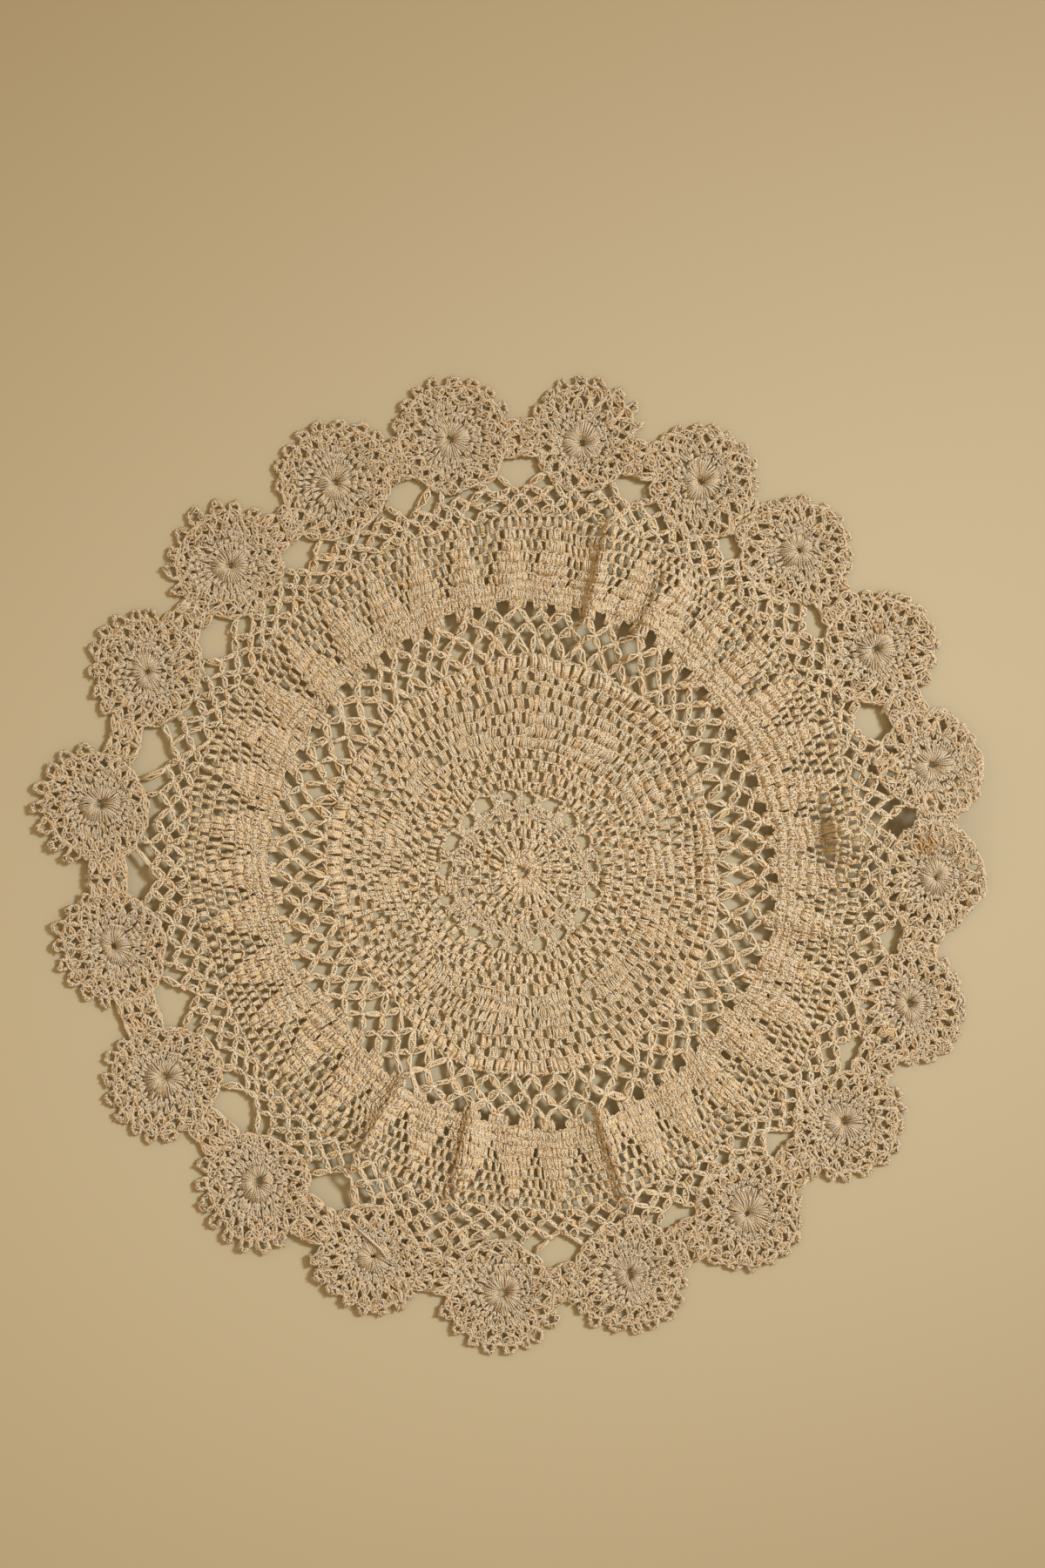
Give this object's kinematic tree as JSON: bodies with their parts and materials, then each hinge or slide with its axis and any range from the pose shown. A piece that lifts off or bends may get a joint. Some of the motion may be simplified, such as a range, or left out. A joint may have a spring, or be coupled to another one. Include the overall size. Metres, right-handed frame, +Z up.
{
  "type": "lace doily",
  "caption": "Round crocheted lace doily with a star medallion, trellis, ruffled band, open net and a border of joined rosettes, lying flat.",
  "frame": {"origin": "on the table under the middle of the doily's overall outline; the medallion's centre is 4.9 mm towards +X and 3.8 mm towards -Y of it", "axes": "+Z up from the table, out of the doily's right side; +Y towards the top of the doily, its slightly longer way; +X to the right"},
  "size_m": [0.4151, 0.427, 0.0144],
  "materials": {
    "ecru_thread": "matt two-ply mercerised crochet cotton, ecru, softly yellowed with age",
    "rosette_thread": "the same ecru crochet cotton, a little paler where the rosettes catch light"
  },
  "bodies": {
    "root": {"round_body": "ecru_thread", "rosette_01": "rosette_thread", "rosette_02": "rosette_thread", "rosette_03": "rosette_thread", "rosette_04": "rosette_thread", "rosette_05": "rosette_thread", "rosette_06": "rosette_thread", "rosette_07": "rosette_thread", "rosette_08": "rosette_thread", "rosette_09": "rosette_thread", "rosette_10": "rosette_thread", "rosette_11": "rosette_thread", "rosette_12": "rosette_thread", "rosette_13": "rosette_thread", "rosette_14": "rosette_thread", "rosette_15": "rosette_thread", "rosette_16": "rosette_thread", "rosette_17": "rosette_thread", "rosette_18": "rosette_thread", "rosette_19": "rosette_thread", "rosette_20": "rosette_thread"}
  },
  "joints": []
}
